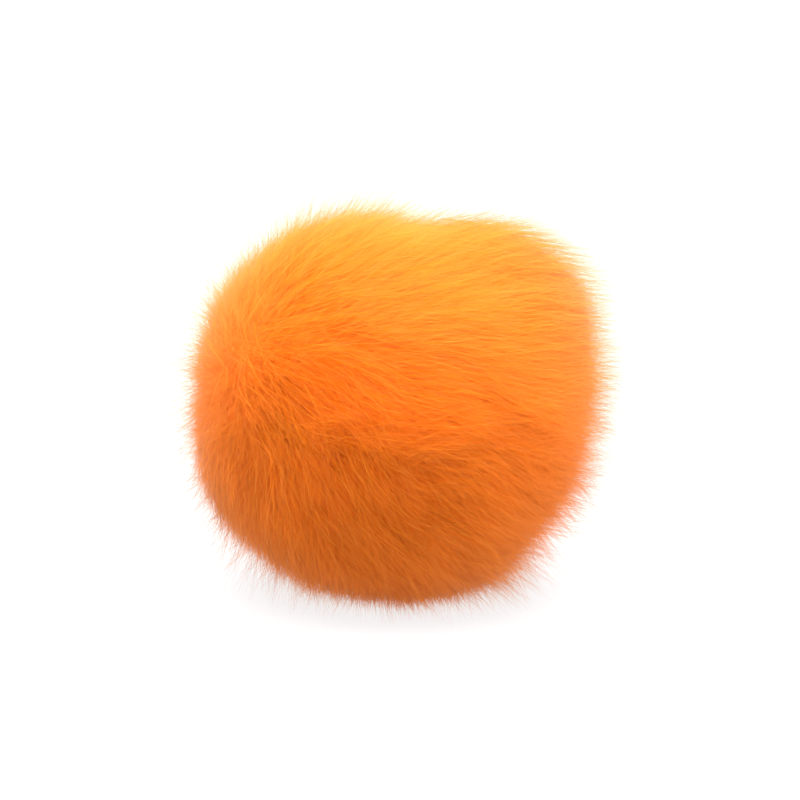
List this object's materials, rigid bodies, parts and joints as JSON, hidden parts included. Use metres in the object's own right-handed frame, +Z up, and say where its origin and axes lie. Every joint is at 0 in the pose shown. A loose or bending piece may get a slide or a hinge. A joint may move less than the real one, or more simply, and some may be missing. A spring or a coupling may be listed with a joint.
{
  "type": "fur pom pom",
  "caption": "Round ball of dyed fur with its hair combed to one side from a crown, for sewing or clipping on as a trimming.",
  "frame": {"origin": "centre of the ball's footprint, on the surface that it rests on", "axes": "+Z up, -Y towards the viewer of the picture, +X to the viewer's right, the way that the hair is combed"},
  "size_m": [0.0798, 0.0806, 0.0763],
  "materials": {
    "fur": "soft dyed fur"
  },
  "bodies": {
    "root": {"fur_ball": "fur"}
  },
  "joints": []
}
